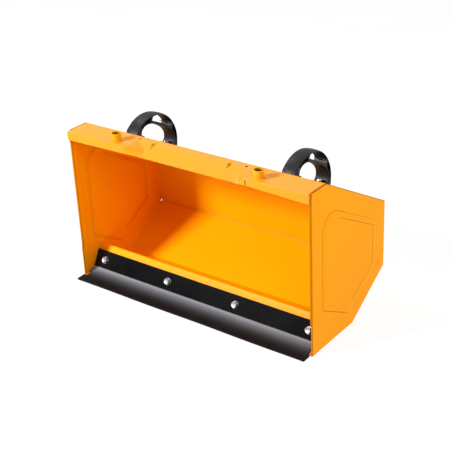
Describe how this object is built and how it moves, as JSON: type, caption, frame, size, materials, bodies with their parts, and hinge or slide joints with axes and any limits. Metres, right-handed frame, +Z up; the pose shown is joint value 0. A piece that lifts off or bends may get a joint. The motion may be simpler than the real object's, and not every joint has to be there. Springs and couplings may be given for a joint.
{
  "type": "debris collection bucket",
  "caption": "Open-front sheet-steel collection bucket with a top rail, two upright socket tubes, a bolted rubber front lip and two moulded carrying handles on its sloping roof.",
  "frame": {"origin": "centre of the rectangle the part covers on the ground, at ground level", "axes": "+Z up, -Y towards the open front with the rubber lip, +X across the width"},
  "size_m": [0.6224, 0.305, 0.375],
  "materials": {
    "side_paint": "gloss powder coat",
    "body_paint": "gloss powder coat",
    "rail_paint": "gloss powder coat",
    "lip_rubber": "smooth semi-matt",
    "zinc_steel": "bright zinc plated",
    "handle_plastic": "fine moulded grain"
  },
  "bodies": {
    "root": {"side_plate_left": "side_paint", "side_plate_right": "side_paint", "body_sheet": "body_paint", "top_rail": "rail_paint", "front_ramp": "rail_paint", "rubber_lip": "lip_rubber", "lip_bolts": "zinc_steel", "lip_washers": "zinc_steel", "lip_nuts": "zinc_steel", "socket_tube_left": "rail_paint", "socket_tube_right": "rail_paint", "socket_bead_left": "rail_paint", "socket_bead_right": "rail_paint", "handle_left": "handle_plastic", "handle_right": "handle_plastic", "handle_bolts": "zinc_steel", "handle_washers": "zinc_steel", "handle_nuts": "zinc_steel"}
  },
  "joints": []
}
